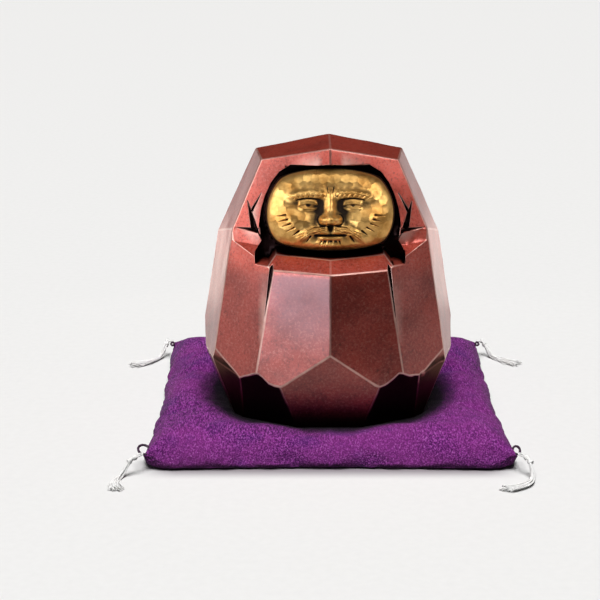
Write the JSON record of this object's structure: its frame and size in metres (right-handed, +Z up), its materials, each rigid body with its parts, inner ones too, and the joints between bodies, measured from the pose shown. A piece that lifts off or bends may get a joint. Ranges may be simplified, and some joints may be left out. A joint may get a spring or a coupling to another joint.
{
  "type": "daruma figure",
  "caption": "Daruma in red-brown cast bronze, carved in broad flat cuts, with a gilt face set back in its hood, on a square crepe cushion with a tassel at each corner.",
  "frame": {"origin": "middle of the cushion's flat underside", "axes": "+Z up, -Y the way the figure faces, +X towards the right-hand side of a viewer in front of it"},
  "size_m": [0.2249, 0.208, 0.1471],
  "materials": {
    "red_bronze": "cast bronze under a semi-gloss red-brown patina, black in the cuts, with a gilt face",
    "purple_crepe": "matt purple crepe over soft stuffing",
    "white_yarn": "soft off-white yarn"
  },
  "bodies": {
    "root": {"figure": "red_bronze", "cushion": "purple_crepe", "tassel_front_left": "white_yarn", "tassel_front_right": "white_yarn", "tassel_back_left": "white_yarn", "tassel_back_right": "white_yarn"}
  },
  "joints": []
}
